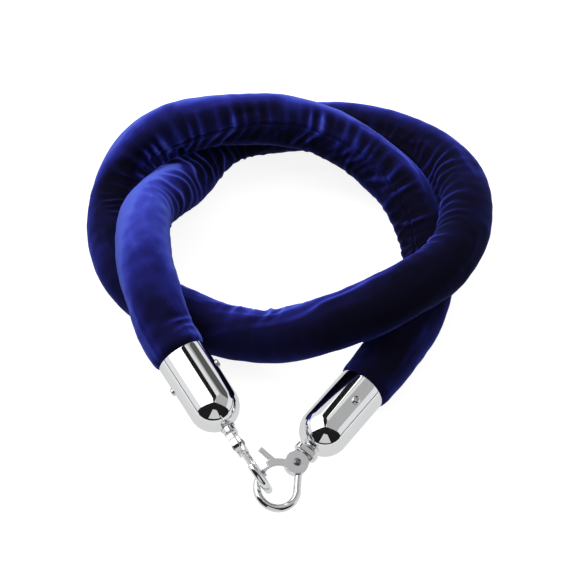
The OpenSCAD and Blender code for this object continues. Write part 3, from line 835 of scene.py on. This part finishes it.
def screw_mesh():
    """Head on top of the origin, shank below it, z outwards."""
    angle = np.arange(SCREW_SIDES) * 2 * math.pi / SCREW_SIDES
    rows = [(SCREW_R * 0.1, -SCREW_LENGTH), (SCREW_R * 0.55, -SCREW_LENGTH + 1.2 * MM)]
    turns = np.linspace(-SCREW_LENGTH + 1.4 * MM, -0.3 * MM, 29)
    rows += [(SCREW_R * (1 if k % 2 else 0.8), z) for k, z in enumerate(turns)]
    rows += [(SCREW_R, 0), (SCREW_HEAD_R * 0.96, 0), (SCREW_HEAD_R, 0.15 * MM)]
    rows += [(SCREW_HEAD_R, SCREW_HEAD_H * 0.35)]
    rows += [(r * SCREW_HEAD_R, None) for r in np.linspace(0.985, 0.03, 26)]
    points = []
    for r, z in rows:
        x, y = r * np.cos(angle), r * np.sin(angle)
        if z is None:
            dome = SCREW_HEAD_H * (0.35 + 0.65 * math.sqrt(max(0, 1 - (r / SCREW_HEAD_R) ** 2.6)))
            arm = np.minimum(np.abs(x), np.abs(y))
            in_arm = 1 - rise(arm, CROSS_W * 0.75, CROSS_W * 1.15)
            in_cross = 1 - rise(r, CROSS_R * 0.92, CROSS_R * 1.08)
            height = dome - in_arm * in_cross * CROSS_DEPTH
        else:
            height = np.full(SCREW_SIDES, z)
        points.append(np.stack([x, y, height], axis=1))
    count = len(points)
    points = np.vstack(points + [[[0, 0, -SCREW_LENGTH - 0.1 * MM]], [[0, 0, SCREW_HEAD_H - CROSS_DEPTH]]])
    faces = []
    for i in range(count - 1):
        faces += quads_between(i, i + 1, SCREW_SIDES)
    tip = count * SCREW_SIDES
    rim = tip - SCREW_SIDES
    for k in range(SCREW_SIDES):
        m = (k + 1) % SCREW_SIDES
        faces += [(tip, m, k), (tip + 1, rim + k, rim + m)]
    mesh = bpy.data.meshes.new("screw")
    mesh.from_pydata(points.tolist(), [], faces)
    mesh.shade_smooth()
    mesh.set_sharp_from_angle(angle=SCREW_SHARP)
    return mesh


print("screw length under its head in mm:", SCREW_LENGTH / MM)

# %% A tree that sets a piece at every point, facing outwards
set_tree, tree_in, tree_out = new_tree("pieces facing out", [
    ("Piece", "NodeSocketObject", None), ("Turn", FLOAT, 0.0), ("Material", "NodeSocketMaterial", None)])
piece = set_tree.nodes.new("GeometryNodeObjectInfo")
facing_out = add(set_tree, "GeometryNodeInputNamedAttribute", data_type="FLOAT_VECTOR", Name="facing")
align = add(set_tree, "FunctionNodeAlignRotationToVector", axis="Z")
spin = add(set_tree, "FunctionNodeRotateRotation", rotation_space="LOCAL")
spin_by = set_tree.nodes.new("ShaderNodeCombineXYZ")
on_points = set_tree.nodes.new("GeometryNodeInstanceOnPoints")
for source, target in [
    (tree_in.outputs["Geometry"], on_points.inputs["Points"]),
    (tree_in.outputs["Piece"], piece.inputs["Object"]),
    (piece.outputs["Geometry"], on_points.inputs["Instance"]),
    (facing_out.outputs["Attribute"], align.inputs["Vector"]),
    (align.outputs[0], spin.inputs[0]),
    (tree_in.outputs["Turn"], spin_by.inputs[2]),
    (spin_by.outputs[0], spin.inputs[1]),
    (spin.outputs[0], on_points.inputs["Rotation"]),
]:
    join(set_tree, source, target)
finish_tree(set_tree, on_points.outputs[0], tree_in, tree_out)
print("tree ready:", set_tree.name, "with", len(set_tree.nodes), "nodes")

# %% The screws on each cap
pattern = link(bpy.data.objects.new("screw pattern", screw_mesh()))
SCREW_TURNS = {"left": 106, "right": 153}
SCREW_SINK = 0.12 * MM
RECESS_TURN = 0.5
for hand, (mouth, axes) in caps.items():
    places, facings = [], []
    for half_turn in (0, 180):
        a = math.radians(SCREW_TURNS[hand] + half_turn)
        outwards = axes @ np.array([math.cos(a), math.sin(a), 0])
        places.append(mouth + axes @ np.array([0, 0, SCREW_INSET]) + outwards * (CAP_R - SCREW_SINK))
        facings.append(outwards)
    spots = bpy.data.meshes.new("screw places")
    spots.from_pydata([list(p) for p in places], [], [])
    store = spots.attributes.new("facing", "FLOAT_VECTOR", "POINT")
    store.data.foreach_set("vector", np.array(facings, np.float32).ravel())
    values = {"Piece": pattern, "Turn": RECESS_TURN, "Material": screw_chrome}
    screws = run_tree("screws_" + hand, set_tree, spots, values)
    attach(screws, "rope")
    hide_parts("cap_screws_" + hand)
    print(screws.name, "faces:", len(screws.data.polygons))
bpy.data.objects.remove(pattern)

# %% [markdown]
# ## Hooks and triggers
# The hooks are castings and the trigger levers are stamped plates, and both are already exact in the
# CAD frame. A cast edge is never sharp, though, and a plated one catches the light. Each piece is
# copied, its loose triangles are joined, and a fine remesh followed by smoothing rounds every edge a
# little while the size stays true.

# %% A copy of a CAD piece with its edges softened
WELD_GAP, PLAIN_SHARP = 0.002 * MM, math.radians(32)


def softened(node, name, voxel, passes, material, body):
    """The copy takes the place of its CAD node. A voxel of 0 leaves its shape as it is."""
    copy = nodes[node].copy()
    copy.data = nodes[node].data.copy()
    copy.name = copy.data.name = name
    copy.parent = None
    for key in list(copy.keys()):
        del copy[key]
    link(copy)
    copy.data.materials.clear()
    weld = copy.modifiers.new("join", "WELD")
    weld.merge_threshold = WELD_GAP
    if voxel:
        fine = copy.modifiers.new("remesh", "REMESH")
        fine.mode, fine.voxel_size, fine.use_smooth_shade = "VOXEL", voxel, True
        calm = copy.modifiers.new("round", "SMOOTH")
        calm.factor, calm.iterations = 0.5, passes
    made = bpy.data.meshes.new_from_object(copy.evaluated_get(bpy.context.evaluated_depsgraph_get()))
    copy.modifiers.clear()
    copy.data = made
    made.name = name
    made.materials.clear()
    made.materials.append(material)
    made.shade_smooth()
    if not voxel:
        made.set_sharp_from_angle(angle=PLAIN_SHARP)
    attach(copy, body)
    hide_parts(node)
    print(name, "faces:", len(made.polygons))


print("softening ready")

# %% Hooks, triggers and what is inside the caps
# Each piece: CAD node, name, voxel in mm, smoothing passes, material, slot, and the body it rides on.
HARDWARE = [
    ("hook_body_", "cast_hook_", 0.22, 16, hook_chrome, "hook_chrome", "hook_"),
    ("trigger_lever_", "lever_", 0.18, 10, lever_chrome, "trigger_chrome", "trigger_"),
    ("pivot_rivet_", "rivet_", 0.12, 5, rivet_steel, "rivet_steel", "hook_"),
    ("swivel_stud_", "stud_", 0.16, 4, steel, "washer_steel", "hook_"),
    ("swivel_washer_", "tip_washer_", 0.12, 4, steel, "washer_steel", "rope"),
    ("backing_washer_", "inner_washer_", 0.12, 4, steel, "washer_steel", "rope"),
    ("end_plug_", "wood_plug_", 0.5, 3, wood, "plug_wood", "rope"),
    ("trigger_spring_", "spring_", 0, 0, spring_steel, "spring_steel", "hook_"),
]
for hand in ("left", "right"):
    for node, name, voxel, passes, material, slot, body in HARDWARE:
        carrier = body if body == "rope" else body + hand
        softened(node + hand, name + hand, voxel * MM, passes, material, carrier)

# %% [markdown]
# ## Floor, light and what the chrome sees
# Velvet wants one broad soft light from above and behind, so that its rims glow and its face stays
# dark. Chrome shows the room: two large panels overhead, one white and one grey, with a dark gap
# between them draw the long dark stripe down each cap. A dark screen in front puts depth in the domes,
# and a low dark line at each side draws a thin one along the caps.

# %% World
WHITE = (1, 1, 1, 1)


def chosen(tree, choice, otherwise, picked):
    """A mix of two shaders: picked where choice is 1, and otherwise the other."""
    return worked(tree, "ShaderNodeMixShader", choice, otherwise, picked)


world = bpy.data.worlds.new("studio")
scene.world = world
world.use_nodes = True
tree = world.node_tree
tree.nodes.clear()
output = tree.nodes.new("ShaderNodeOutputWorld")
rays = tree.nodes.new("ShaderNodeLightPath")
where = tree.nodes.new("ShaderNodeTexCoord")
split = add(tree, "ShaderNodeSeparateXYZ", Vector=where.outputs["Generated"])
brighter_up = ranged(tree, split.outputs["Z"], -0.05, 0.9, 0.03, 0.75)
soft_light = worked(tree, "ShaderNodeBackground", WHITE, brighter_up)
seen = worked(tree, "ShaderNodeBackground", WHITE, 1.0)
mirrored = worked(tree, "ShaderNodeBackground", (0.86, 0.87, 0.89, 1), 0.9)
unseen = chosen(tree, rays.outputs["Is Glossy Ray"], soft_light, mirrored)
surroundings = chosen(tree, rays.outputs["Is Camera Ray"], unseen, seen)
join(tree, surroundings, output.inputs[0])
scene.view_settings.view_transform = "Standard"
scene.view_settings.look = "None"
print("world ready:", world.name)


# %% Floor
def flat_panel(name, corners, material):
    mesh = bpy.data.meshes.new(name)
    mesh.from_pydata(corners, [], [tuple(range(len(corners)))])
    panel = link(bpy.data.objects.new(name, mesh))
    mesh.materials.append(material)
    return panel


floor_white, tree, shader = new_material(
    "white sweep", Roughness=0.7, Emission_Strength=0.87, Base_Color=(0.30, 0.30, 0.30, 1),
    Emission_Color=WHITE, Specular_IOR_Level=0.0)
# Seen in the chrome the floor is darker near the coil and brighter further out: painted shade of the rope on
# the floor's reflection.
reach = add(tree, "ShaderNodeVectorMath", operation="LENGTH", Vector=on_object(tree))
floor_shade_in_chrome = ranged(tree, reach.outputs["Value"], 0.10, 0.75, 0.68, 0.92)
shade = add(tree, "ShaderNodeEmission", Strength=floor_shade_in_chrome)
rays = tree.nodes.new("ShaderNodeLightPath")
either = chosen(tree, rays.outputs["Is Glossy Ray"], shader.outputs[0], shade.outputs[0])
join(tree, either, tree.nodes["Material Output"].inputs["Surface"])
floor = flat_panel("floor", [(-3, -3, 0), (3, -3, 0), (3, 3, 0), (-3, 3, 0)], floor_white)
floor.visible_diffuse = False
print("floor ready:", floor.name)


# %% Panels that only the chrome sees
def glow(name, strength):
    black = (0, 0, 0, 1)
    return new_material(
        name, Base_Color=black, Emission_Color=WHITE, Emission_Strength=strength, Specular_IOR_Level=0)[0]


def level_panel(name, height, outline, material):
    """A flat panel at one height, from its outline in x and y."""
    return flat_panel(name, [(x, y, height) for x, y in outline], material)


def side_line(name, x):
    return flat_panel(name, [(x, -1.5, 0.0), (x, 1.6, 0.0), (x, 1.6, 0.12), (x, -1.5, 0.12)], black)


white, light, grey = glow("panel white", 1.5), glow("panel light", 0.75), glow("panel grey", 0.42)
black, dim, pale = glow("panel black", 0.012), glow("panel dim", 0.09), glow("panel pale", 0.62)
HIGH = 1.2
panels = [
    level_panel("overhead white", 1.3, [(-2.4, -1.2), (2.4, -1.2), (2.4, 2.6), (-2.4, 2.6)], white),
    level_panel("overhead light", 1.25, [(-2.4, 1.25), (-0.3, 1.25), (-0.3, 2.6), (-2.4, 2.6)], light),
    level_panel("overhead grey", 1.25, [(0.1, -1.2), (2.4, -1.2), (2.4, 2.6), (0.05, 2.6), (0.2, 0.4)], grey),
    level_panel("overhead strip", 1.23, [
        (0.2, 0.2), (0.3, 0.15), (0.55, 0.5), (0.42, 0.65), (0.2, 0.45)], light),
    level_panel("overhead dim", 1.22, [(0.65, 0.65), (1.1, 0.5), (2.4, 0.6), (2.4, 2.6), (1.0, 2.6)], dim),
    level_panel("middle gap", HIGH, [
        (-0.02, -0.5), (0.08, -0.5), (0.2, 0.05), (0.22, 0.27), (0.1, 0.62), (-0.03, 1.1),
        (-0.2, 1.8), (-0.5, 1.8), (-0.36, 1.2), (-0.12, 0.5), (-0.1, 0.02)], black),
    flat_panel("front screen", [
        (-2.4, -1.0, 0), (2.4, -1.0, 0), (1.6, -0.72, 0.62),
        (0.04, -0.42, HIGH), (-1.5, -0.72, 0.62)], black),
    flat_panel("front window", [
        (-0.30, -0.86, 0.05), (0.34, -0.86, 0.02), (0.16, -0.70, 0.52), (-0.06, -0.70, 0.60)], pale),
    level_panel("front floor shade", 0.002, [
        (-1.6, -1.0), (1.6, -1.0), (0.46, -0.34), (-0.46, -0.34)], black),
    side_line("left line", -2.0),
    side_line("right line", 2.0),
]
for panel in panels:
    panel.visible_camera = panel.visible_diffuse = panel.visible_shadow = False
    panel.visible_transmission = panel.visible_volume_scatter = False
print("panels:", len(panels))


# %% Lights
def softbox(name, at, wide, tall, power):
    """A broad lamp that points at the middle of the coil. The chrome doesn't show it."""
    lamp = bpy.data.lights.new(name, "AREA")
    lamp.shape, lamp.size, lamp.size_y, lamp.energy = "RECTANGLE", wide, tall, power
    box = link(bpy.data.objects.new(name, lamp))
    box.location = at
    box.rotation_euler = (-Vector(at)).to_track_quat("-Z", "Y").to_euler()
    box.visible_glossy = False
    print("light:", name, "watts:", power)


softbox("key", (-0.9, 0.5, 1.1), 0.9, 0.9, 19)
softbox("back", (0.5, 1.3, 0.9), 1.0, 0.6, 10)
softbox("fill", (0.9, -0.3, 1.2), 0.8, 0.8, 3)
